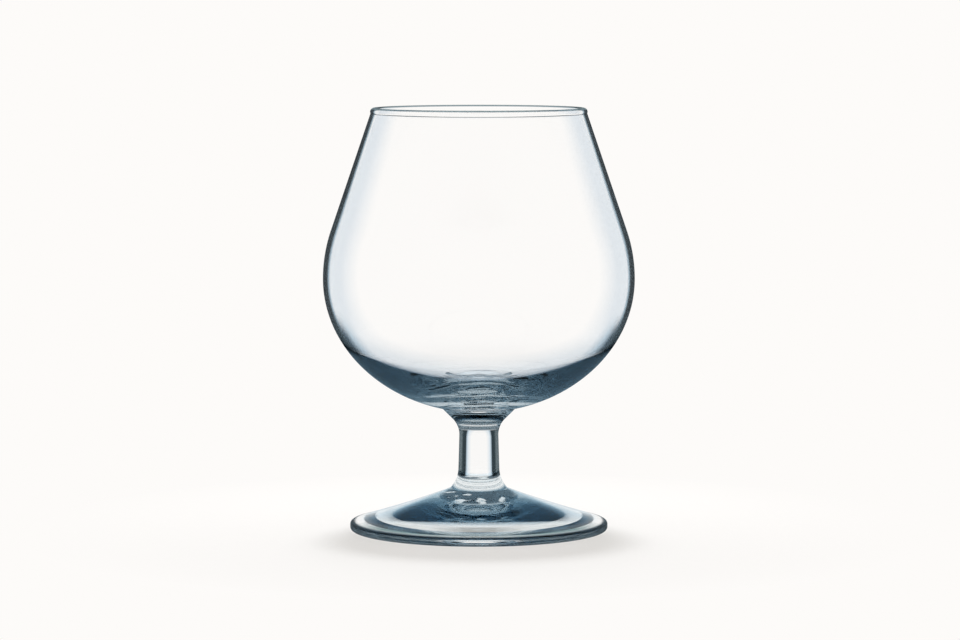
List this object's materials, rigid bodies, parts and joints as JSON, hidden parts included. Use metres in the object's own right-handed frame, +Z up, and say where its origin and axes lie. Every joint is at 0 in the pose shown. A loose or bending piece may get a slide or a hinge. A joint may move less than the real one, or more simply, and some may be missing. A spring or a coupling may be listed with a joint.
{
  "type": "brandy snifter",
  "caption": "Short-stemmed clear glass brandy snifter: wide round bowl narrowing straight up to a beaded rim, flared collar, plain stem and a spread, hollowed foot.",
  "frame": {"origin": "middle of the foot, on the plane that the glass stands on", "axes": "+Z up along the axis of the glass, towards the mouth; X and Y are alike, because every piece is turned about Z"},
  "size_m": [0.082, 0.082, 0.1113],
  "materials": {
    "clear_glass": "clear, fire-polished, faintly blue"
  },
  "bodies": {
    "root": {"foot": "clear_glass", "stem": "clear_glass", "collar": "clear_glass", "bowl": "clear_glass"}
  },
  "joints": []
}
